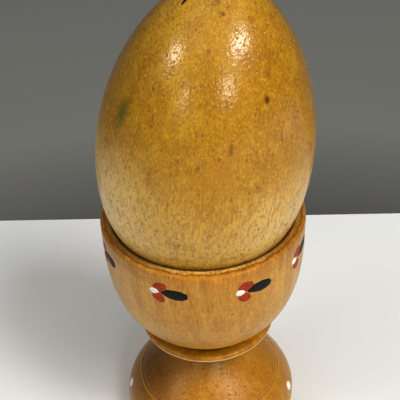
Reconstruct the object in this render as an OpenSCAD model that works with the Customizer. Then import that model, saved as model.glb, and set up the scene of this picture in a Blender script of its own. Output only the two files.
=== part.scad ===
// Turned wooden egg shaker standing in its egg cup.
// The egg is bored from its blunt end, part filled with round shot and closed with a glued
// plug. Origin: centre of the cup's flat base, +Z up, millimetres.

/* [Egg] */
// Largest diameter of the egg
egg_d = 45; // [44.6:0.1:45.4]
// Height of the egg along its own axis
egg_h = 66; // [65.5:0.1:66.5]
// Lean of the egg's axis away from upright, degrees
egg_lean = 8.3; // [7:0.1:9]
// Direction the egg leans to, degrees round from +X
egg_lean_to = -20; // [-90:5:90]
// Height of the egg's middle above the rim of the cup
egg_seat = 20.5; // [20.4:0.05:20.8]
// Sideways shift of the egg's middle that keeps the leaning egg seated on the rim
egg_shift = 1.75; // [1.7:0.01:1.8]

/* [Sound chamber] */
// Radius of the chamber bored into the egg
chamber_r = 11.8; // [11.6:0.1:12.2]
// Radius of the seat bored for the plug
plug_r = 12.8; // [12.6:0.1:13]
// Thickness of the glue between the plug and its seat
glue_gap = 0.04; // [0.02:0.01:0.06]
// Height of the plug's top face above the blunt tip of the egg
plug_h = 9; // [8.5:0.5:10]
// Height of the chamber's straight bore above the plug
chamber_bore_h = 32; // [31:0.5:33]
// Height of the domed end of the chamber
chamber_dome_h = 12; // [11.5:0.5:12]

/* [Shot] */
// Diameter of one ball of shot
shot_d = 4.5; // [4.3:0.05:4.5]
// Clear space kept between neighbouring balls
shot_gap = 0.06; // [0.04:0.01:0.08]

/* [Cup] */
// Height of the cup, base to rim
cup_h = 62; // [60:0.5:66]
// Largest radius of the bowl, just below the lip
bowl_r = 22.55; // [22.4:0.05:22.7]
// Depth below the rim over which the wall stands straight
straight_d = 3; // [2.5:0.1:3.5]
// Radius of the mouth
mouth_r = 19.9; // [19.85:0.05:19.95]
// Depth of the hollow of the bowl
hollow_h = 20; // [19:0.5:20.5]
// Radius of the waist between bowl and collar
waist_r = 12.6; // [12.4:0.1:13]

/* [Collar and foot] */
// Radius of the thin collar
collar_r = 15.9; // [15.5:0.1:16.3]
// Thickness of the collar
collar_t = 1.7; // [1.5:0.1:2]
// Depth of the collar's top face below the rim
collar_drop = 30.9; // [30.8:0.1:31.2]
// Radius of the neck under the collar
neck_r = 6.5; // [6:0.25:8]
// Largest radius of the bell-shaped foot
foot_r = 21.3; // [21:0.1:21.6]
// Height above the base at which the foot is widest
foot_wide_z = 4.2; // [3.8:0.1:4.6]
// Radius of the flat base
base_r = 20.2; // [19.8:0.1:20.6]
// Height above the base of the turned groove on the foot
groove_z = 12.1; // [11.5:0.1:12.6]
// Depth of the turned groove
groove_h = 0.35; // [0.25:0.05:0.45]

/* [Hidden] */
// Steps along the egg's outline, along each curve of the cup and along a small rounding
egg_steps = 56;
curve_steps = 22;
edge_steps = 6;
$fn = 96;

egg_c = egg_h / 2;
plug_top = plug_h - egg_c;
shot_pitch = shot_d + shot_gap;

// Outline of the egg: half width at a fraction s of its half height, blunt end at s = -1
function egg_shape(s) = sqrt(1 - s * s) * (1 - 0.16 * s + 0.06 * s * s - 0.12 * s * s * s);
egg_shape_max = max([for (i = [0 : 200]) egg_shape(i / 100 - 1)]);
function egg_radius(s) = egg_d / 2 * egg_shape(s) / egg_shape_max;

// Depth below the rim at which the bowl's curve would close
bowl_close = collar_drop + 3.3;
bowl_power = 3;
// Outside of the bowl, a depth d below the rim
function bowl_radius(d) =
    d < straight_d
        ? bowl_r
        : bowl_r * sqrt(1 - pow((d - straight_d) / (bowl_close - straight_d), bowl_power));
// Depth at which the bowl has narrowed to the waist
waist_drop = straight_d
    + (bowl_close - straight_d) * pow(1 - pow(waist_r / bowl_r, 2), 1 / bowl_power);

// Bell of the foot, from the neck at s = 0 to the widest place at s = 1: the first power
// rounds its shoulder, the second draws out the hollow sweep below the neck
bell_top = cup_h - collar_drop - collar_t;
shoulder_power = 2.1;
sweep_power = 3.5;
function bell_radius(s) =
    neck_r + (foot_r - neck_r) * pow(1 - pow(1 - s, shoulder_power), sweep_power);
function bell_radius_at(z) = bell_radius((bell_top - z) / (bell_top - foot_wide_z));

// Points of an arc of radius r round [x, z], from angle a to angle b
function arc(x, z, r, a, b, n) =
    [for (i = [0 : n]) [x + r * cos(a + (b - a) * i / n), z + r * sin(a + (b - a) * i / n)]];

// Balls of one close-packed layer of shot that lie within a number of pitches of the axis
function layer(n, shift, reach) =
    [for (j = [-3 : 3], i = [-4 : 4])
        let (x = (i + j / 2) * shot_pitch,
             y = j * shot_pitch * sqrt(3) / 2 + shift,
             z = plug_top + shot_gap + shot_d / 2 + n * shot_pitch * sqrt(2 / 3))
        if (norm([x, y]) < reach * shot_pitch) [x, y, z]];
// The layers nest: the middle one sits in the hollows of the lower, the upper on the middle
nest = shot_pitch / sqrt(3);
balls = concat(layer(0, 0, 2.1), layer(1, nest, 1.6), layer(2, 0, 1.1));

function two_digits(n) = n < 10 ? str("0", n) : str(n);
function shot_name(i) = str("shot_", two_digits(i + 1));
shot_nodes = [for (i = [0 : len(balls) - 1]) shot_name(i)];

module place_egg() {
    translate([egg_shift * cos(egg_lean_to), egg_shift * sin(egg_lean_to), cup_h + egg_seat])
        rotate([0, 0, egg_lean_to])
            rotate([0, egg_lean, 0])
                rotate([0, 0, -egg_lean_to])
                    children();
}

module egg_solid() {
    rotate_extrude()
        polygon([for (i = [0 : egg_steps])
            let (s = -cos(180 * i / egg_steps))
            [abs(s) == 1 ? 0 : egg_radius(s), egg_c * s]]);
}

// The bored chamber: a straight bore with a domed end, and the wider seat of the plug
module chamber() {
    dome_z = plug_top + chamber_bore_h;
    rotate_extrude()
        polygon(concat(
            [[0, -egg_c - 1], [plug_r, -egg_c - 1], [plug_r, plug_top], [chamber_r, plug_top]],
            [for (i = [0 : curve_steps])
                let (a = 90 * i / curve_steps)
                [i == curve_steps ? 0 : chamber_r * cos(a), dome_z + chamber_dome_h * sin(a)]]));
}

module egg_shell() {
    color([0.84, 0.64, 0.33])
        place_egg()
            difference() {
                egg_solid();
                chamber();
            }
}

module egg_plug() {
    color([0.78, 0.57, 0.28])
        place_egg()
            intersection() {
                egg_solid();
                translate([0, 0, -egg_c - 1])
                    cylinder(r = plug_r - glue_gap, h = plug_h + 1);
            }
}

module shot(i) {
    color([0.62, 0.63, 0.65])
        place_egg()
            translate(balls[i])
                sphere(d = shot_d, $fn = 24);
}

// Half outline of the cup's outside, from the centre of the base up to the rim
module cup_outside() {
    lip_r = 0.9;
    base_edge = 0.6;
    collar_z = cup_h - collar_drop;
    bead_r = collar_t / 2;
    fillet = 0.85 * (collar_drop - waist_drop);
    bell_steps = curve_steps + 6;
    base_side = [for (i = [1 : edge_steps])
        let (a = 90 * i / edge_steps)
        [base_r + (foot_r - base_r) * sin(a),
         base_edge + (foot_wide_z - base_edge) * (1 - cos(a))]];
    bell = [for (i = [1 : bell_steps])
        let (s = 1 - i / bell_steps)
        [bell_radius(s), bell_top - (bell_top - foot_wide_z) * s]];
    wall = [for (i = [0 : curve_steps])
        let (d = waist_drop + (straight_d - waist_drop) * sin(90 * i / curve_steps))
        [bowl_radius(d), cup_h - d]];
    polygon(concat(
        [[0, 0]],
        arc(base_r - base_edge, base_edge, base_edge, -90, 0, edge_steps),
        base_side,
        bell,
        arc(collar_r - bead_r, collar_z - bead_r, bead_r, -90, 90, 2 * edge_steps),
        arc(waist_r + fillet, collar_z + fillet, fillet, -90, -180, edge_steps),
        wall,
        arc(bowl_r - lip_r, cup_h - lip_r, lip_r, 0, 90, edge_steps),
        [[0, cup_h]]));
}

// Half outline of the hollow of the bowl, with a straight mouth and a rounded inner edge
module cup_hollow() {
    edge = 0.5;
    straight = 2;
    polygon(concat(
        [[0, cup_h - hollow_h]],
        [for (i = [1 : curve_steps])
            let (a = 90 * i / curve_steps)
            [mouth_r * pow(sin(a), 0.9),
             cup_h - straight - (hollow_h - straight) * cos(a)]],
        arc(mouth_r + edge, cup_h - edge, edge, 180, 90, edge_steps),
        [[mouth_r + edge, cup_h + 1], [0, cup_h + 1]]));
}

// The cup, with a turned groove sunk square to the slope of the bell
module cup() {
    groove_half = 0.45;
    widening = bell_radius_at(groove_z - 0.5) - bell_radius_at(groove_z + 0.5);
    color([0.74, 0.52, 0.24])
        difference() {
            rotate_extrude()
                cup_outside();
            rotate_extrude()
                cup_hollow();
            rotate_extrude()
                translate([bell_radius_at(groove_z), groove_z])
                    rotate(-atan2(1, widening))
                        polygon([[-groove_half, 0], [0, -groove_h], [groove_half, 0],
                                 [groove_half, groove_h], [-groove_half, groove_h]]);
        }
}

cup();
egg_shell();
egg_plug();
for (i = [0 : len(balls) - 1])
    shot(i);
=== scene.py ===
"""Looks of the turned wooden egg shaker and its painted cup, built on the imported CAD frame."""
import math
import random

import bpy
from mathutils import Matrix, Vector, noise


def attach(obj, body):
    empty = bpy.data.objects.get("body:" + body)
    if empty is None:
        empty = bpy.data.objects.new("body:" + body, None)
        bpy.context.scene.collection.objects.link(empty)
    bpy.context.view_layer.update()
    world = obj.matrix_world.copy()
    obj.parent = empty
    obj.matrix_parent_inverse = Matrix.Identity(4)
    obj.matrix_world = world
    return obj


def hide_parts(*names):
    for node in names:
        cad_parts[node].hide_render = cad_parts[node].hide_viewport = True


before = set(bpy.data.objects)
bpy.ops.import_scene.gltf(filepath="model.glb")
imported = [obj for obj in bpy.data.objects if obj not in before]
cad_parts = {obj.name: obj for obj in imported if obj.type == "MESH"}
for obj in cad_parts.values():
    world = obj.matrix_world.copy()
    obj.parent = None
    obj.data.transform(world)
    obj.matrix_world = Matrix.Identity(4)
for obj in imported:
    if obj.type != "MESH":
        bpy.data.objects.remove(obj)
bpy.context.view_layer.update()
rng = random.Random(11)
MM = 0.001

# ---- sizes of the part, in millimetres, as in the CAD source
EGG_D, EGG_H, EGG_LEAN, EGG_TO, EGG_SEAT, EGG_SHIFT = 45.0, 66.0, 8.3, -20.0, 20.5, 1.75
CHAMBER_R, PLUG_R, PLUG_H, BORE_H, DOME_H = 11.8, 12.8, 9.0, 32.0, 12.0
CUP_H, BOWL_R, STRAIGHT_D, BOWL_POWER, LIP_R = 62.0, 22.55, 3.0, 3.0, 0.9
MOUTH_R, MOUTH_EDGE, MOUTH_STRAIGHT, HOLLOW_H, WAIST_R = 19.9, 0.5, 2.0, 20.0, 12.6
COLLAR_R, COLLAR_T, COLLAR_DROP, NECK_R = 15.9, 1.7, 30.9, 6.5
FOOT_R, FOOT_Z, BASE_R, BASE_EDGE = 21.3, 4.2, 20.2, 0.6
GROOVE_Z, GROOVE_H, GROOVE_HALF = 12.1, 0.35, 0.45
SHOULDER_POWER, SWEEP_POWER = 2.1, 3.5
BOWL_CLOSE = COLLAR_DROP + 3.3
COLLAR_Z = CUP_H - COLLAR_DROP
BELL_TOP = COLLAR_Z - COLLAR_T
EGG_MID = EGG_H / 2
PLUG_TOP = PLUG_H - EGG_MID
DOME_Z = PLUG_TOP + BORE_H
LEDGE_R = 14.0  # a ring on the flat top of the collar
LIP_EDGE_R = BOWL_R - LIP_R  # where the rounding of the lip meets the flat rim


def egg_shape(s):
    return math.sqrt(max(0.0, 1 - s * s)) * (1 - 0.16 * s + 0.06 * s * s - 0.12 * s ** 3)


EGG_MAX = max(egg_shape(i / 500 - 1) for i in range(1001))


def egg_radius(s):
    return EGG_D / 2 * egg_shape(s) / EGG_MAX


def bowl_radius(d):
    if d < STRAIGHT_D:
        return BOWL_R
    return BOWL_R * math.sqrt(max(0.0, 1 - ((d - STRAIGHT_D) / (BOWL_CLOSE - STRAIGHT_D)) ** BOWL_POWER))


def bell_radius(z):
    s = (BELL_TOP - z) / (BELL_TOP - FOOT_Z)
    return NECK_R + (FOOT_R - NECK_R) * (1 - (1 - s) ** SHOULDER_POWER) ** SWEEP_POWER


def cup_radius(z):
    """Outside of the cup where the painter's brush goes: the bowl, or the bell of the foot."""
    return bowl_radius(CUP_H - z) if z > COLLAR_Z else bell_radius(z)


# Where the egg stands: its middle above the rim, leaning
lean_dir = math.radians(EGG_TO)
egg_middle = (EGG_SHIFT * math.cos(lean_dir), EGG_SHIFT * math.sin(lean_dir), CUP_H + EGG_SEAT)
EGG_PLACE = (
    Matrix.Translation(egg_middle)
    @ Matrix.Rotation(lean_dir, 4, "Z")
    @ Matrix.Rotation(math.radians(EGG_LEAN), 4, "Y")
    @ Matrix.Rotation(-lean_dir, 4, "Z")
)


# ---- meshes
EGG_SPOKES, CUP_SPOKES = 320, 288
SHARP_ANGLE = 38


def arc(x, z, r, a, b, n):
    """Points of an arc of radius r round (x, z), from angle a to angle b in degrees."""
    angles = [math.radians(a + (b - a) * i / n) for i in range(n + 1)]
    return [(x + r * math.cos(angle), z + r * math.sin(angle)) for angle in angles]


def add_piece(name, verts, faces, mat):
    """A smoothly shaded object from points in millimetres."""
    mesh = bpy.data.meshes.new(name)
    mesh.from_pydata([v * MM for v in verts], [], faces)
    mesh.validate()
    mesh.shade_smooth()
    mesh.materials.append(mat)
    piece = bpy.data.objects.new(name, mesh)
    bpy.context.scene.collection.objects.link(piece)
    return piece


def lathe(name, profile, steps, mat, wear, place=Matrix.Identity(4)):
    """A skin of revolution about Z, worn and then placed: its outline starts and ends on the axis."""
    verts, faces, rings = [], [], []
    for r, z in profile:
        if r < 1e-6:
            rings.append([len(verts)])
            verts.append(Vector((0, 0, z)))
            continue
        rings.append(list(range(len(verts), len(verts) + steps)))
        for k in range(steps):
            a = 2 * math.pi * k / steps
            verts.append(Vector((r * math.cos(a), r * math.sin(a), z)))
    for lo, hi in zip(rings, rings[1:]):
        for k in range(steps):
            n = (k + 1) % steps
            if len(lo) == 1:
                faces.append((lo[0], hi[n], hi[k]))
            elif len(hi) == 1:
                faces.append((lo[k], lo[n], hi[0]))
            else:
                faces.append((lo[k], lo[n], hi[n], hi[k]))
    piece = add_piece(name, [place @ wear(v) for v in verts], faces, mat)
    piece.data.set_sharp_from_angle(angle=math.radians(SHARP_ANGLE))
    return piece


# The check in the end grain near the tip: a short, slightly bent split
CHECK = [Vector((-7.7, -4.0)), Vector((-6.4, -2.7)), Vector((-5.3, -2.1)), Vector((-4.0, -1.5))]
CHECK_HALF_W, CHECK_DEPTH, NEAR_TIP = 0.34, 0.45, 24.0


def to_check(p):
    """Distance of a point, seen along the egg's axis, from the split, and how far along it is."""
    best, along = 99.0, 0.0
    for i, (a, b) in enumerate(zip(CHECK, CHECK[1:])):
        t = max(0.0, min(1.0, (p - a).dot(b - a) / (b - a).length_squared))
        d = (p - a - (b - a) * t).length
        if d < best:
            best, along = d, (i + t) / (len(CHECK) - 1)
    return best, along


def egg_wear(v):
    """The hand-turned skin is a little uneven, and a check has opened in the end grain."""
    in_chamber = math.hypot(v.x, v.y) < CHAMBER_R + 0.01 and v.z < DOME_Z + DOME_H + 0.1
    if in_chamber:
        return v
    outward = Vector((v.x, v.y, v.z * 0.35)).normalized()
    out = v + outward * (0.035 * noise.noise(v * 0.11) - 0.02)
    if v.z > NEAR_TIP:
        d, along = to_check(Vector((v.x, v.y)))
        width = CHECK_HALF_W * (0.35 + 1.3 * math.sin(math.pi * along))
        if d < width:
            out.z -= CHECK_DEPTH * (1 - d / width) * (0.3 + 0.7 * math.sin(math.pi * along))
    return out


def seat_edge():
    """Height at which the egg narrows to the radius of the plug's seat, by halving."""
    lo, hi = -1.0, -0.5
    for _ in range(40):
        mid = (lo + hi) / 2
        lo, hi = (mid, hi) if egg_radius(mid) < PLUG_R else (lo, mid)
    return lo * EGG_MID


def egg_profile():
    """Outline of the egg from its tip down to the plug's seat, then up round the chamber."""
    rows, bore_steps, cap_steps = 230, 12, 20
    skin = [(0.0, EGG_MID)]
    for i in range(1, rows):
        turn = i / rows
        s = math.cos(math.pi * turn * (0.62 + 0.38 * turn))  # rows lie closer near the tip
        r = egg_radius(s)
        if s < 0 and r <= PLUG_R:
            break
        skin.append((r, EGG_MID * s))
    low = seat_edge()
    seat = [(PLUG_R, low), (PLUG_R, (low + PLUG_TOP) / 2), (PLUG_R, PLUG_TOP), (CHAMBER_R, PLUG_TOP)]
    bore = [(CHAMBER_R, PLUG_TOP + BORE_H * i / bore_steps) for i in range(1, bore_steps)]
    cap = []
    for i in range(cap_steps):
        a = math.pi / 2 * i / cap_steps
        cap.append((CHAMBER_R * math.cos(a), DOME_Z + DOME_H * math.sin(a)))
    return skin + seat + bore + cap + [(0.0, DOME_Z + DOME_H)]


def foot_outline():
    """Half outline of the foot, from the middle of the base up to the neck."""
    side_steps, bell_steps = 14, 100
    pts = [(0.0, 0.0), (BASE_R * 0.5, 0.0)]
    pts += arc(BASE_R - BASE_EDGE, BASE_EDGE, BASE_EDGE, -90, 0, 6)
    for i in range(1, side_steps + 1):
        a = math.pi / 2 * i / side_steps
        rise = (FOOT_Z - BASE_EDGE) * (1 - math.cos(a))
        pts.append((BASE_R + (FOOT_R - BASE_R) * math.sin(a), BASE_EDGE + rise))
    # the groove is sunk square to the slope of the bell, and the bell's rows keep clear of it
    widening = bell_radius(GROOVE_Z - 0.5) - bell_radius(GROOVE_Z + 0.5)
    slope = math.hypot(1.0, widening)
    half = GROOVE_HALF / slope
    left_open = 0.35  # the varnish has filled the rest of the groove's depth
    groove = []
    for f in (-1.5, -1.15, -1.0, -0.8, -0.4, 0.0, 0.4, 0.8, 1.0, 1.15, 1.5):
        z = GROOVE_Z + f * half
        dip = left_open * GROOVE_H * max(0.0, 1 - abs(f)) ** 0.8
        groove.append((bell_radius(z) - dip / slope, z - dip * widening / slope))
    heights = [FOOT_Z + (BELL_TOP - FOOT_Z) * i / bell_steps for i in range(1, bell_steps + 1)]
    bell = [(bell_radius(z), z) for z in heights if abs(z - GROOVE_Z) >= 1.6 * half]
    return pts + sorted(bell + groove, key=lambda point: point[1])


def bowl_outline():
    """Half outline from the collar up the outside of the bowl to its lip."""
    wall_steps = 80
    bead = COLLAR_T / 2
    waist_d = STRAIGHT_D + (BOWL_CLOSE - STRAIGHT_D) * (1 - (WAIST_R / BOWL_R) ** 2) ** (1 / BOWL_POWER)
    fillet = 0.85 * (COLLAR_DROP - waist_d)
    pts = arc(COLLAR_R - bead, COLLAR_Z - bead, bead, -90, 90, 16)
    pts += [(LEDGE_R, COLLAR_Z)]
    pts += arc(WAIST_R + fillet, COLLAR_Z + fillet, fillet, -90, -180, 6)
    for i in range(1, wall_steps + 1):
        d = waist_d + (STRAIGHT_D - waist_d) * math.sin(math.pi / 2 * i / wall_steps)
        pts.append((bowl_radius(d), CUP_H - d))
    pts += [(BOWL_R, CUP_H - STRAIGHT_D * 2 / 3), (BOWL_R, CUP_H - (STRAIGHT_D + LIP_R) / 3)]
    return pts + arc(LIP_EDGE_R, CUP_H - LIP_R, LIP_R, 0, 90, 12)


def cup_profile():
    """Outline of the cup from the middle of its base, up the outside and down into the bowl."""
    hollow_steps = 40
    pts = foot_outline() + bowl_outline()
    pts += [(LIP_EDGE_R - 0.4, CUP_H), (MOUTH_R + 0.9, CUP_H)]
    pts += arc(MOUTH_R + MOUTH_EDGE, CUP_H - MOUTH_EDGE, MOUTH_EDGE, 90, 180, 8)
    for i in range(hollow_steps, 0, -1):
        a = math.pi / 2 * i / hollow_steps
        z = CUP_H - MOUTH_STRAIGHT - (HOLLOW_H - MOUTH_STRAIGHT) * math.cos(a)
        pts.append((MOUTH_R * math.sin(a) ** 0.9, z))
    return pts + [(0.0, CUP_H - HOLLOW_H)]


def cup_wear(v):
    """Rounding and slight unevenness left by hand turning, kept inside the drawn outline."""
    h = math.hypot(v.x, v.y)
    if v.z < 0.5 or h < 1:
        return v
    k = 1 + (0.02 * noise.noise(v * 0.13) - 0.02) / h
    return Vector((v.x * k, v.y * k, v.z))


# ---- procedural materials
class Graph:
    """A material's nodes, with lengths in millimetres."""

    def __init__(self, name):
        self.mat = bpy.data.materials.new(name)
        self.mat.use_nodes = True
        self.tree = self.mat.node_tree
        self.tree.nodes.clear()
        self.out = self.tree.nodes.new("ShaderNodeOutputMaterial")
        self.bsdf = self.tree.nodes.new("ShaderNodeBsdfPrincipled")
        self.tree.links.new(self.bsdf.outputs[0], self.out.inputs[0])

    def put(self, socket, value):
        if isinstance(value, bpy.types.NodeSocket):
            self.tree.links.new(value, socket)
        else:
            socket.default_value = value

    def surface(self, values):
        """Sets or links the named inputs of the surface shader."""
        for key, value in values.items():
            self.put(self.bsdf.inputs[key], value)

    def node(self, kind, props=(), **inputs):
        n = self.tree.nodes.new(kind)
        for key, value in dict(props).items():
            setattr(n, key, value)
        for key, value in inputs.items():
            self.put(n.inputs[key.replace("_", " ")], value)
        return n

    def coords(self, place=None):
        """Position in millimetres, in the frame that place puts there."""
        tc = self.node("ShaderNodeTexCoord")
        inv = (place or Matrix.Identity(4)).inverted()
        return self.node(
            "ShaderNodeMapping",
            Vector=tc.outputs["Object"],
            Location=inv.to_translation(),
            Rotation=inv.to_euler("XYZ"),
            Scale=(1000, 1000, 1000),
        ).outputs[0]

    def math(self, op, a, b=0.0, c=0.0):
        n = self.node("ShaderNodeMath", {"operation": op})
        for socket, value in zip(n.inputs, (a, b, c)):
            self.put(socket, value)
        return n.outputs[0]

    def times(self, *factors):
        """Product of masks or numbers."""
        product = factors[0]
        for factor in factors[1:]:
            product = self.math("MULTIPLY", product, factor)
        return product

    def vec(self, op, a, b=(0, 0, 0)):
        n = self.node("ShaderNodeVectorMath", {"operation": op})
        self.put(n.inputs[0], a)
        self.put(n.inputs[1], b)
        return n.outputs["Value" if op == "LENGTH" else "Vector"]

    def split(self, v):
        return self.node("ShaderNodeSeparateXYZ", Vector=v).outputs

    def noise(self, v, scale, detail=2.0, rough=0.5, warp=0.0, stretch=None):
        if stretch:
            v = self.vec("MULTIPLY", v, stretch)
        return self.node(
            "ShaderNodeTexNoise", Vector=v, Scale=scale, Detail=detail, Roughness=rough, Distortion=warp
        ).outputs["Fac"]

    def span(self, x, a, b, lo=0.0, hi=1.0, smooth=True):
        """lo where x is a, hi where x is b, and an easy change between."""
        return self.node(
            "ShaderNodeMapRange",
            {"interpolation_type": "SMOOTHSTEP" if smooth else "LINEAR", "clamp": True},
            Value=x, From_Min=a, From_Max=b, To_Min=lo, To_Max=hi,
        ).outputs[0]

    def mix(self, fac, a, b):
        n = self.node("ShaderNodeMix", {"data_type": "RGBA"})
        self.put(n.inputs[0], fac)
        self.put(n.inputs[6], a)
        self.put(n.inputs[7], b)
        return n.outputs[2]

    def pits(self, v, stretch, scale, size, keep):
        """Scattered pores of uneven size: 1 inside each. keep is the share of the cells with one."""
        cells = self.node("ShaderNodeTexVoronoi", Vector=self.vec("MULTIPLY", v, stretch), Scale=scale)
        chance = self.split(cells.outputs["Color"])
        unevenness = self.span(chance[1], 0.0, 1.0, 0.35, 1.15)
        distance = self.math("DIVIDE", cells.outputs["Distance"], unevenness)
        spot = self.span(distance, size * 0.4, size, 1.0, 0.0)
        return self.times(spot, self.span(chance[2], 0, 1, 0.4, 1), self.math("LESS_THAN", chance[0], keep))

    def blob(self, p, centre, size, soft=1.0):
        """1 inside an ellipsoid of the given half sizes, fading out over its rim."""
        d = self.vec("SUBTRACT", p, centre)
        d = self.vec("LENGTH", self.vec("DIVIDE", d, size))
        return self.span(d, max(0.0, 1 - soft), 1.0, 1.0, 0.0)

    def waves(self, x, pitch):
        return self.math("SINE", self.times(x, 2 * math.pi / pitch))

    def lay(self, colour, tint, *masks):
        """The colour with a tint laid over it, as strongly as the product of the masks."""
        return self.mix(self.times(*masks), colour, rgba(*tint))

    def grain(self, colour, layers):
        """The colour with tints laid over it, each growing as a noise runs from start to full."""
        for tint, value, start, full, strength in layers:
            colour = self.lay(colour, tint, self.span(value, start, full, 0.0, strength))
        return colour

    def bump(self, height_mm, strength=1.0):
        n = self.node("ShaderNodeBump", Strength=strength, Distance=MM)
        self.put(n.inputs["Height"], height_mm)
        return n.outputs[0]


def rgba(red, green, blue):
    return (red, green, blue, 1.0)


def lacquer(g, colour, height, under_rough, under_gloss, coat_rough, coat=1.0):
    """Clear varnish over wood: the grain below, the gloss above."""
    normal = g.bump(height)
    g.surface({
        "Base Color": colour,
        "Roughness": under_rough,
        "Specular IOR Level": under_gloss,
        "Coat Weight": coat,
        "Coat IOR": 1.5,
        "Coat Roughness": coat_rough,
        "Normal": normal,
        "Coat Normal": normal,
    })
    return g.mat


def varnish_height(g, p, fibre, pores):
    """Orange peel over the open grain, with the pores sunk in it, in millimetres."""
    peel = g.noise(p, 1.3, 2.0, 0.55)
    height = g.times(peel, 0.060)
    height = g.math("SUBTRACT", height, g.times(pores, 0.100))
    return g.math("ADD", height, g.times(fibre, 0.014))


def on_egg(height, angle):
    """A point of the egg's skin, at a height above its middle and some degrees round from +X."""
    r, a = egg_radius(height / EGG_MID), math.radians(angle)
    return Vector((r * math.cos(a), r * math.sin(a), height))


# Marks of age on the egg: height and degrees round, half sizes, softness, strength, tint
KNOT = (31.1, -106.5)
EGG_MARKS = [
    (KNOT, (1.0, 1.0, 1.2), 0.9, 0.55, (0.16, 0.065, 0.010)),
    ((29.0, -58.5), (1.4, 1.2, 1.0), 0.8, 0.55, (0.26, 0.085, 0.006)),
    ((28.3, -27.0), (1.5, 1.3, 1.1), 0.8, 0.45, (0.30, 0.11, 0.008)),
    ((17.7, -61.0), (0.9, 0.9, 1.4), 0.8, 0.95, (0.12, 0.035, 0.004)),
    ((21.5, -57.5), (1.2, 1.2, 2.6), 1.0, 0.65, (0.22, 0.080, 0.006)),
    ((29.8, -94.5), (0.6, 0.6, 0.6), 0.8, 0.80, (0.13, 0.045, 0.006)),
    ((24.8, -102.5), (0.8, 0.8, 0.8), 0.8, 0.60, (0.24, 0.090, 0.006)),
    ((10.1, -148.0), (2.6, 2.6, 5.5), 1.0, 0.85, (0.11, 0.125, 0.006)),  # green stain
    ((10.0, -82.5), (0.7, 0.8, 3.8), 1.0, 0.75, (0.20, 0.075, 0.004)),
    ((11.0, -53.0), (0.7, 0.7, 3.2), 1.0, 0.65, (0.22, 0.080, 0.004)),
    ((4.5, -88.0), (5.0, 5.0, 5.5), 0.9, 0.85, (0.46, 0.210, 0.0002)),  # drip of amber varnish
    ((24.0, -50.0), (2.6, 2.6, 4.5), 1.0, 0.45, (0.30, 0.115, 0.002)),
    ((13.0, -40.0), (2.5, 2.5, 6.0), 1.0, 0.40, (0.30, 0.115, 0.002)),
    ((8.1, -88.0), (0.6, 0.6, 0.7), 0.8, 0.60, (0.24, 0.050, 0.008)),
    ((5.9, -98.5), (0.65, 0.65, 0.65), 0.5, 0.45, (0.20, 0.080, 0.006)),
]
LARGE_MARK = 4.0  # a mark this wide shows the grain through it
LATHE_PITCH, RING_PITCH = 0.62, 0.95


def egg_body(g, p, age, side):
    """Amber above and bare below, with a darker and a paler band of the plank down the front, and a painted
    reflection of the table, paler low on both sides.
    """
    _, y, z = g.split(p)
    colour = g.mix(g.span(age, -15.0, 2.0), rgba(0.600, 0.365, 0.080), rgba(0.475, 0.236, 0.001))
    colour = g.lay(colour, (0.56, 0.31, 0.018), g.span(age, 21.0, 31.0, 0.0, 0.6))
    colour = g.lay(colour, (0.34, 0.180, 0.006), g.span(side, 2.0, -19.0, 0.0, 0.34), g.span(z, -6.0, 8.0))
    browner = g.span(side, -2.0, 12.0, 0.0, 0.45)
    colour = g.lay(colour, (0.34, 0.150, 0.002), browner, g.span(age, -3.0, 8.0))
    # painted reflection of the white table: the egg made paler low down on both sides
    painted_table_reflection = g.math("MAXIMUM", g.span(side, -4.0, -18.0, 0.0, 0.80), g.span(side, 3.0, 14.0, 0.0, 0.46))
    colour = g.lay(colour, (0.86, 0.62, 0.26), painted_table_reflection, g.span(z, 7.0, -7.0))
    dark_band = g.times(g.span(side, -3.4, -1.6), g.span(side, 9.0, 1.0), g.span(y, 0.0, -8.0))
    dark_band = g.times(dark_band, g.span(z, -12.0, -1.0), g.span(z, 27.0, 19.0, 0.0, 0.30))
    colour = g.lay(colour, (0.42, 0.190, 0.001), dark_band)
    pale_band = g.times(g.span(side, -2.2, -3.4), g.span(side, -15.0, -8.0), g.span(y, 0.0, -5.0))
    return g.lay(colour, (0.62, 0.370, 0.040), pale_band, g.span(z, 3.0, 12.0, 0.0, 0.34))


def egg_marks(g, p, colour, mottle, fleck):
    """Stains, streaks and dark spots, and the brown rings round the knot."""
    grainy = g.span(fleck, 0.35, 0.62, 1.0, 0.55)
    for place, size, soft, strength, tint in EGG_MARKS:
        broken = grainy if min(size) > LARGE_MARK else g.span(mottle, 0.2, 0.5, 0.7, 1.0)
        colour = g.lay(colour, tint, g.blob(p, on_egg(*place), size, soft), strength, broken)
    from_knot = g.vec("LENGTH", g.vec("SUBTRACT", p, on_egg(*KNOT)))
    rings = g.span(g.waves(g.math("MULTIPLY_ADD", mottle, 3.0, from_knot), RING_PITCH), -0.2, 0.9)
    rings = g.times(rings, g.span(from_knot, 2.8, 1.0, 0.0, 0.6), g.span(fleck, 0.62, 0.40, 0.25, 1.0))
    return g.lay(colour, (0.22, 0.085, 0.006), rings)


def in_check(g, p):
    """1 inside the check in the end grain near the tip."""
    inside = 0.0
    for a, b in zip(CHECK, CHECK[1:]):
        mid, run = (a + b) / 2, b - a
        q = g.node(
            "ShaderNodeMapping", {"vector_type": "TEXTURE"}, Vector=p,
            Location=(mid.x, mid.y, NEAR_TIP + 4.0), Rotation=(0, 0, math.atan2(run.y, run.x)),
        ).outputs[0]
        reach = (run.length * 0.62, CHECK_HALF_W * 1.25, 9.0)
        inside = g.math("MAXIMUM", inside, g.blob(q, (0, 0, 0), reach, 0.35))
    return inside


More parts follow.
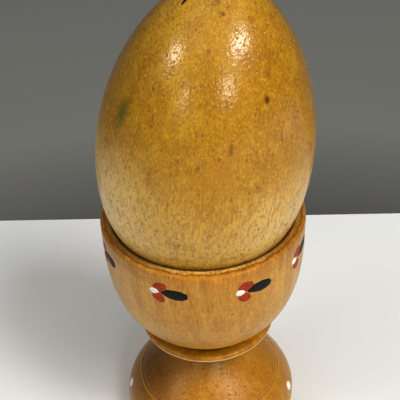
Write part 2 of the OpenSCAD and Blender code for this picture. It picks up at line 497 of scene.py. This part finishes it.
def egg_wood(name, place):
    """Close-grained wood, amber where the varnish has aged, paler towards the blunt end."""
    g = Graph(name)
    p = g.coords(place)
    x, _, z = g.split(p)
    blotch = g.noise(p, 0.075, 2.0, 0.5, stretch=(1, 1, 0.55))
    cloud = g.noise(p, 0.17, 3.0, 0.6, 0.6, stretch=(1, 1, 0.8))
    mottle = g.noise(p, 0.50, 3.0, 0.6, stretch=(1, 1, 0.7))
    fibre = g.noise(p, 2.4, 2.0, 0.6, 0.2, stretch=(1, 1, 0.20))
    fleck = g.noise(p, 2.6, 2.0, 0.7, stretch=(1, 1, 0.6))
    age = g.math("ADD", z, g.span(blotch, 0.25, 0.75, -7.0, 7.0, smooth=False))
    side = g.math("ADD", x, g.span(mottle, 0.3, 0.7, -2.0, 2.0, smooth=False))
    colour = egg_body(g, p, age, side)

    # clouds of browner and paler varnish
    aged = g.span(age, -12.0, 2.0)
    colour = g.lay(colour, (0.37, 0.155, 0.001), g.span(cloud, 0.50, 0.36, 0.0, 0.42), aged)
    colour = g.lay(colour, (0.60, 0.345, 0.020), g.span(cloud, 0.52, 0.66, 0.0, 0.30), aged)

    # lathe lines ring the tip
    turned = g.waves(g.math("ADD", z, g.span(mottle, 0, 1, -0.3, 0.3)), LATHE_PITCH)
    turned = g.times(g.span(turned, 0.35, 1.0), g.span(z, 16.0, 27.0, 0.0, 0.42), g.span(blotch, 0.4, 0.6))
    colour = g.lay(colour, (0.36, 0.16, 0.010), turned)

    # fibre, mottle and flecks, pale and dark
    low = g.span(z, 3.0, -7.0, 0.18, 0.46)
    colour = g.lay(colour, (0.76, 0.50, 0.090), g.span(fibre, 0.46, 0.66), low)
    colour = g.lay(colour, (0.34, 0.170, 0.008), g.span(fibre, 0.50, 0.34), low)
    colour = g.grain(colour, [
        ((0.36, 0.160, 0.002), mottle, 0.50, 0.30, 0.42),
        ((0.70, 0.420, 0.030), mottle, 0.50, 0.72, 0.28),
        ((0.80, 0.520, 0.050), fleck, 0.54, 0.68, 0.36),
        ((0.27, 0.120, 0.003), fleck, 0.46, 0.33, 0.42),
    ])

    # specks and pores
    specks = g.times(g.pits(p, (1, 1, 0.8), 0.36, 0.17, 0.5), g.span(mottle, 0.35, 0.6, 0.9, 0.5))
    colour = g.lay(colour, (0.20, 0.075, 0.004), specks, g.span(age, -6.0, 6.0, 0.3, 0.8))
    fine_pores = g.times(g.pits(p, (1, 1, 0.7), 1.25, 0.42, 0.75), 0.6)
    low_pores = g.times(g.pits(p, (1, 1, 0.8), 0.80, 0.34, 0.80), g.span(age, 0.0, -15.0, 0.22, 0.95))
    pores = g.math("MAXIMUM", fine_pores, low_pores)
    colour = g.lay(colour, (0.16, 0.065, 0.006), pores, 0.70)

    colour = egg_marks(g, p, colour, mottle, fleck)
    inside = in_check(g, p)
    # painted shade: the inside of the check darkened almost to black
    colour = g.lay(colour, (0.010, 0.005, 0.002), inside)
    coat = g.times(g.math("SUBTRACT", 1.0, inside), g.span(z, 5.0, 17.0, 0.38, 1.0))  # rubbed thin low down
    return lacquer(g, colour, varnish_height(g, p, fibre, pores), 0.38, 0.32, 0.17, coat)


def cup_end_grain(g, colour, z, radius, rim, side_shade, grain, mottle, fleck, wobble):
    """Rim and collar, where the turning cuts across the fibre, with painted shade on the rim's sides and in
    the mouth where the egg sits, and a painted highlight on the collar's lower edge.
    """
    end = g.mix(g.span(grain, 0.38, 0.58), rgba(0.48, 0.235, 0.022), rgba(0.80, 0.54, 0.170))
    # painted shade: the rim's end grain darkened on both sides
    end = g.lay(end, (0.24, 0.100, 0.006), side_shade, 0.70)
    edge_r = g.math("ADD", radius, g.times(wobble, 0.35))
    colour = g.mix(g.times(rim, g.span(edge_r, LIP_EDGE_R + 0.10, LIP_EDGE_R - 0.20)), colour, end)
    line = g.span(g.math("ABSOLUTE", g.math("SUBTRACT", edge_r, LIP_EDGE_R - 0.05)), 0.38, 0.06)
    line = g.times(line, g.span(z, CUP_H - 1.0, CUP_H - 0.6), g.span(fleck, 0.3, 0.6, 0.95, 0.55))
    colour = g.lay(colour, (0.20, 0.055, 0.002), line)
    # painted shade: a dark ring round the inside of the mouth, where the egg sits
    seat = g.times(g.span(radius, MOUTH_R + 0.85, MOUTH_R + 0.45), g.span(z, CUP_H - 3.0, CUP_H - 1.0))
    colour = g.lay(colour, (0.075, 0.014, 0.003), seat, 0.88)
    shelf = g.times(g.span(z, BELL_TOP + 0.25, BELL_TOP + 0.6), g.span(z, COLLAR_Z + 0.9, COLLAR_Z + 0.5))
    shelf_tint = g.mix(g.span(mottle, 0.35, 0.65), rgba(0.36, 0.150, 0.004), rgba(0.50, 0.245, 0.012))
    colour = g.mix(shelf, colour, shelf_tint)
    # painted highlight: a pale line along the lower edge of the collar
    collar_edge_highlight = g.times(g.span(z, BELL_TOP + 0.90, BELL_TOP + 0.68), g.span(z, BELL_TOP + 0.1, BELL_TOP + 0.3))
    collar_edge_highlight = g.times(collar_edge_highlight, g.span(radius, COLLAR_R - 0.7, COLLAR_R - 0.4))
    return g.lay(colour, (0.92, 0.64, 0.22), collar_edge_highlight, 0.95)


def cup_painted_shading(g, p, colour, uneven_z, radius, mottle):
    """Painted shade on the left of the foot, just under the collar and where the bowl meets the collar, a
    painted highlight along the groove, and the foot a little darker on its right.
    """
    x, _, z = g.split(p)
    # painted shadow: the left of the foot darkened, away from the key light
    left_foot_shadow = g.blob(p, (-15.0, -2.0, 14.0), (15.0, 20.0, 13.0), 0.9)
    colour = g.lay(colour, (0.15, 0.055, 0.001), left_foot_shadow, g.span(mottle, 0.2, 0.7, 0.65, 0.95))
    foot = g.span(uneven_z, 27.0, 25.0)
    colour = g.lay(colour, (0.29, 0.130, 0.006), foot, g.span(x, 2.0, 14.0, 0.0, 0.16))
    # painted shade just under the collar, strongest on the left
    neck = g.times(g.span(uneven_z, 16.0, 24.5, 0.0, 0.88), g.span(z, BELL_TOP + 0.1, BELL_TOP - 0.2))
    colour = g.lay(colour, (0.19, 0.085, 0.001), neck, g.span(x, 11.0, 0.0, 0.4, 1.0))
    # painted highlight: a pale line along the lower edge of the groove
    groove_highlight = g.span(g.math("ABSOLUTE", g.math("SUBTRACT", z, GROOVE_Z - 0.55)), 0.30, 0.08)
    colour = g.lay(colour, (0.56, 0.33, 0.05), groove_highlight, 0.45)
    # painted shade: a dark line on the collar where the bowl meets it
    shade_under_bowl = g.times(g.span(z, COLLAR_Z + 1.6, COLLAR_Z + 0.3), g.span(z, COLLAR_Z - 0.2, COLLAR_Z))
    corner = g.span(radius, LEDGE_R - 0.1, LEDGE_R - 1.0)
    return g.lay(colour, (0.05, 0.018, 0.002), shade_under_bowl, corner, 0.8)


def cup_wood(name):
    """The cup's browner wood: end grain on the rim and collar, an orange stain at the lip."""
    g = Graph(name)
    p = g.coords()
    x, _, z = g.split(p)
    radius = g.vec("LENGTH", g.vec("MULTIPLY", p, (1, 1, 0)))
    blotch = g.noise(p, 0.09, 2.0, 0.5, stretch=(1, 1, 0.5))
    figure = g.noise(p, 0.30, 2.0, 0.5, 0.5, stretch=(1, 1, 0.12))
    mottle = g.noise(p, 0.55, 3.0, 0.6, stretch=(1, 1, 0.5))
    fibre = g.noise(p, 2.2, 2.0, 0.6, 0.2, stretch=(1, 1, 0.16))
    fleck = g.noise(p, 2.3, 2.0, 0.7, stretch=(1, 1, 0.5))
    grain = g.noise(p, 1.5, 3.0, 0.65, stretch=(1, 1, 0.8))
    wobble = g.span(mottle, 0.25, 0.75, -0.9, 0.9, smooth=False)
    uneven_z = g.math("ADD", z, wobble)

    # body, redder below the collar, and the stain at the lip, with painted shade on both sides
    colour = g.mix(g.span(blotch, 0.3, 0.7), rgba(0.52, 0.248, 0.018), rgba(0.58, 0.300, 0.036))
    colour = g.lay(colour, (0.47, 0.200, 0.010), g.span(uneven_z, 35.0, 27.0))
    # painted shade on both sides of the cup, used on the lip's stain and the rim
    side_shade = g.math("MAXIMUM", g.span(x, -3.0, -17.0), g.span(x, 5.0, 18.0))
    stain_tint = g.mix(side_shade, rgba(0.55, 0.210, 0.003), rgba(0.36, 0.145, 0.004))
    stain_z = g.math("ADD", uneven_z, g.span(fleck, 0.3, 0.7, -1.4, 1.4, smooth=False))
    colour = g.mix(g.span(stain_z, CUP_H - 4.2, CUP_H - 2.0, 0.0, 0.85), colour, stain_tint)

    colour = g.grain(colour, [
        ((0.38, 0.160, 0.006), figure, 0.52, 0.36, 0.32),
        ((0.70, 0.420, 0.060), figure, 0.52, 0.68, 0.24),
        ((0.74, 0.450, 0.070), fibre, 0.46, 0.68, 0.24),
        ((0.33, 0.140, 0.006), fibre, 0.50, 0.32, 0.26),
        ((0.36, 0.150, 0.005), mottle, 0.50, 0.27, 0.30),
        ((0.70, 0.420, 0.060), mottle, 0.50, 0.75, 0.18),
        ((0.80, 0.500, 0.090), fleck, 0.54, 0.68, 0.26),
        ((0.27, 0.110, 0.004), fleck, 0.46, 0.33, 0.28),
    ])

    rim = g.times(g.span(z, CUP_H - 0.40, CUP_H - 0.15), g.span(radius, MOUTH_R - 0.6, MOUTH_R))
    colour = cup_end_grain(g, colour, z, radius, rim, side_shade, grain, mottle, fleck, wobble)
    colour = cup_painted_shading(g, p, colour, uneven_z, radius, mottle)
    long_pores = g.pits(p, (1, 1, 0.3), 0.75, 0.24, 0.45)
    pores = g.math("MAXIMUM", long_pores, g.pits(p, (1, 1, 0.7), 1.2, 0.34, 0.35))
    colour = g.lay(colour, (0.15, 0.055, 0.006), pores, 0.50)
    height = varnish_height(g, p, fibre, g.math("MAXIMUM", pores, g.times(rim, grain)))
    return lacquer(g, colour, height, 0.50, 0.20, 0.30, 0.75)


def paint(name, thin, thick):
    """Enamel laid on by brush: thinner where the bristles dragged."""
    g = Graph(name)
    drag = g.noise(g.coords(), 1.6, 3.0, 0.6, stretch=(1, 1, 1.8))
    g.surface({
        "Base Color": g.mix(g.span(drag, 0.35, 0.65), rgba(*thin), rgba(*thick)),
        "Roughness": g.span(drag, 0.3, 0.7, 0.36, 0.50),
        "Specular IOR Level": 0.25,
        "Normal": g.bump(g.times(drag, 0.02), 0.7),
    })
    return g.mat


def polished_steel(name):
    """Bright steel with fine scuffs."""
    g = Graph(name)
    scuff = g.noise(g.coords(), 1.8, 4.0, 0.6)
    g.surface({
        "Metallic": 1.0,
        "Base Color": g.mix(scuff, rgba(0.50, 0.51, 0.53), rgba(0.66, 0.67, 0.69)),
        "Roughness": g.span(scuff, 0.3, 0.7, 0.12, 0.32),
        "Normal": g.bump(g.times(scuff, 0.004), 0.5),
    })
    return g.mat


def matt_table(name):
    """Off-white laminate, very slightly clouded."""
    g = Graph(name)
    tone = g.noise(g.coords(), 0.02, 2.0, 0.5)
    g.surface({
        "Base Color": g.mix(tone, rgba(0.840, 0.855, 0.860), rgba(0.870, 0.885, 0.890)),
        "Roughness": 0.45,
    })
    return g.mat


egg_mat = egg_wood("egg_varnished_wood", EGG_PLACE)
cup_mat = cup_wood("cup_varnished_wood")
red_mat = paint("paint_red", (0.26, 0.030, 0.002), (0.47, 0.060, 0.004))
black_mat = paint("paint_black", (0.003, 0.002, 0.002), (0.007, 0.006, 0.007))
white_mat = paint("paint_white", (0.80, 0.77, 0.70), (0.92, 0.91, 0.88))
steel_mat = polished_steel("shot_polished_steel")

# ---- the egg and the cup
egg = lathe("egg_turned", egg_profile(), EGG_SPOKES, egg_mat, egg_wear, EGG_PLACE)
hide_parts("egg_shell")
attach(egg, "egg")

cup = lathe("cup_turned", cup_profile(), CUP_SPOKES, cup_mat, cup_wear)
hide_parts("cup")
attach(cup, "cup")

for node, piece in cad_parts.items():
    if node == "egg_plug" or node.startswith("shot_"):
        piece.data.materials.clear()
        piece.data.materials.append(egg_mat if node == "egg_plug" else steel_mat)


# ---- painted flowers round the bowl and dots round the foot
def on_cup(angle, z, rise):
    """A point that stands off the cup's skin by rise, at an angle in radians and a height."""
    slope = (cup_radius(z + 0.1) - cup_radius(z - 0.1)) / 0.2
    tilt = math.hypot(1.0, slope)
    r = cup_radius(z) + rise / tilt
    return Vector((r * math.cos(angle), r * math.sin(angle), z - rise * slope / tilt))


def dab(name, angle, z, length, width, turn, mat, point=0.0, thick=0.10, across=20, around=40):
    """A brush dab that lies on the cup: a raised oval, drawn out to a point at its far end."""
    sunk, roughness, raggedness = 0.03, 0.02, 0.10
    ca, sa = math.cos(math.radians(turn)), math.sin(math.radians(turn))
    seed = Vector((angle, z, length))
    verts, faces = [], []
    for i in range(across + 1):
        f = i / across
        for k in range(around):
            t = 2 * math.pi * k / around
            u, v = math.cos(t), math.sin(t)
            v *= 1 - point * (0.5 + 0.5 * u) ** 2
            ragged = 1 + raggedness * noise.noise(seed + Vector((3 * u, 3 * v, 0)))
            u, v = f * ragged * u * length / 2, f * ragged * v * width / 2
            along, up = u * ca - v * sa, u * sa + v * ca
            rough = roughness * noise.noise(seed + Vector((u * 2.5, v * 2.5, 5)))
            a = math.radians(angle) + along / cup_radius(z + up)
            verts.append(on_cup(a, z + up, thick * (1 - f ** 4) - sunk + rough))
    for i in range(across):
        for k in range(around):
            n = (k + 1) % around
            lo, hi = i * around, (i + 1) * around
            faces.append((lo + k, hi + k, hi + n, lo + n))
    # closed underneath, sunk in the wood
    rim, back = across * around, len(verts)
    verts.append(sum(verts[rim:], Vector()) / around * 0.97)
    faces += [(rim + k, back, rim + (k + 1) % around) for k in range(around)]
    piece = add_piece(name, verts, faces, mat)
    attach(piece, "cup")


# Each flower: two red petals, a white dab and a black leaf, a little uneven as by hand
FLOWER_ANGLES = (-163.0, -115.5, -69.5, -30.5, 15.0, 61.0, 107.0, 153.0)
FLOWER_Z = CUP_H - 5.2
for n, at in enumerate(FLOWER_ANGLES, 1):
    mid = FLOWER_Z + rng.uniform(-0.4, 0.3)
    tip = rng.uniform(-7, 9)
    rise = 2.9 * math.sin(math.radians(tip))
    dab(f"petal_upper_{n}", at + 0.5, mid + 1.35, 3.5, 2.6, rng.uniform(10, 40), red_mat)
    dab(f"petal_lower_{n}", at - 0.4, mid - 1.45, 3.2, 2.5, rng.uniform(-60, -30), red_mat)
    dab(f"leaf_{n}", at + 8.4, mid + 0.2 + rise, 6.1, 3.0, 180 + tip, black_mat, 0.35, 0.13)
    dab(f"white_dab_{n}", at - 2.7, mid + 0.1, 2.2, 1.7, rng.uniform(-10, 20), white_mat, 0.0, 0.19)

DOTS, DOT_Z = 9, 7.5
for n in range(DOTS):
    at = -175.0 + n * 360 / DOTS + rng.uniform(-1, 1)
    dab(f"foot_dot_{n + 1}", at, DOT_Z, 2.5, 2.3, 0, white_mat, 0.0, 0.16, 8, 24)


# ---- stage: a pale table that ends just behind the cup, soft lights, a grey room
def table():
    """The table's top: its far edge runs slantwise, nearer on the right."""
    wide, near, far, slant = 900.0, -900.0, 75.0, -0.044
    corners = [(-wide, near), (wide, near), (wide, far + slant * wide), (-wide, far - slant * wide)]
    verts = [Vector((x, y, 0)) for x, y in corners]
    add_piece("table", verts, [(0, 1, 2, 3)], matt_table("table_white"))


def softbox(name, azimuth, elevation, wide, tall, power, distance=1.0):
    """An area light aimed at the egg. Azimuth 0 is in front of the part, positive to its right."""
    lamp = bpy.data.lights.new(name, "AREA")
    lamp.shape = "ELLIPSE"
    lamp.size, lamp.size_y = wide, tall
    lamp.energy = power
    lamp.color = (1.0, 0.98, 0.95)
    a, e = math.radians(azimuth), math.radians(elevation)
    aim = Vector((0, 0, 0.095))
    way = Vector((math.sin(a) * math.cos(e), -math.cos(a) * math.cos(e), math.sin(e)))
    obj = bpy.data.objects.new(name, lamp)
    obj.location = aim + way * distance
    obj.rotation_mode = "QUATERNION"
    obj.rotation_quaternion = way.to_track_quat("Z", "Y")
    bpy.context.scene.collection.objects.link(obj)
    return obj


def warm_grey(tone):
    return (tone, tone * 0.995, tone * 0.92)


# Tones of the room, from straight down at 0 to straight up at 1
ROOM_TONES = [
    (0.19, (0.122, 0.121, 0.113)),
    (0.235, (0.224, 0.223, 0.203)),
    (0.30, warm_grey(0.200)),
    (0.37, warm_grey(0.135)),
    (0.55, warm_grey(0.105)),
    (0.85, warm_grey(0.220)),
]


def room():
    """A grey room that varies only with the height looked at."""
    world = bpy.data.worlds.new("room")
    world.use_nodes = True
    tree = world.node_tree
    tree.nodes.clear()
    kinds = ("TexCoord", "SeparateXYZ", "MapRange", "ValToRGB", "Background", "OutputWorld")
    coords, split, level, ramp, shade, out = [tree.nodes.new("ShaderNode" + kind) for kind in kinds]
    level.inputs["From Min"].default_value = -1.0
    tree.links.new(coords.outputs["Generated"], split.inputs[0])
    tree.links.new(split.outputs["Z"], level.inputs[0])
    for a, b in ((level, ramp), (ramp, shade), (shade, out)):
        tree.links.new(a.outputs[0], b.inputs[0])
    stops = ramp.color_ramp.elements
    stops[0].position, stops[1].position = ROOM_TONES[0][0], ROOM_TONES[-1][0]
    for position, _ in ROOM_TONES[1:-1]:
        stops.new(position)
    for stop, (_, tone) in zip(stops, ROOM_TONES):
        stop.color = rgba(*tone)
    bpy.context.scene.world = world


def camera(place, pitch, yaw, roll):
    """A phone held above, a little over 17 cm from the rim, looking down at the part."""
    pitch, yaw, roll = math.radians(pitch), math.radians(yaw), math.radians(roll)
    ahead = Vector((math.sin(yaw) * math.cos(pitch), math.cos(yaw) * math.cos(pitch), -math.sin(pitch)))
    level = Vector((math.cos(yaw), -math.sin(yaw), 0))
    down = ahead.cross(level)
    right = level * math.cos(roll) + down * math.sin(roll)
    down = down * math.cos(roll) - level * math.sin(roll)
    lens = bpy.data.cameras.new("camera")
    lens.lens, lens.sensor_width = 72.0, 36.0
    lens.clip_start, lens.clip_end = 0.01, 10.0
    obj = bpy.data.objects.new("camera", lens)
    obj.matrix_world = Matrix.Translation(place) @ Matrix((right, -down, -ahead)).transposed().to_4x4()
    bpy.context.scene.collection.objects.link(obj)
    bpy.context.scene.camera = obj


table()
softbox("key", 46, 42, 0.52, 0.17, 3.9)
softbox("lamp", 52, 54, 0.26, 0.26, 3.9).visible_glossy = False
softbox("side", -68, 37, 0.26, 0.14, 1.5)
softbox("low_front", 17, 23, 0.26, 0.15, 1.2)
softbox("low_left", -33, 20, 0.06, 0.20, 0.50)
softbox("ceiling", 10, 80, 3.0, 3.0, 11.0, 1.8)

room()
camera((0.0, -0.13862, 0.169645), pitch=37.23, yaw=-0.20, roll=2.76)
view = bpy.context.scene.view_settings
view.view_transform = "Standard"
view.gamma = 0.8  # the contrast of a phone's picture
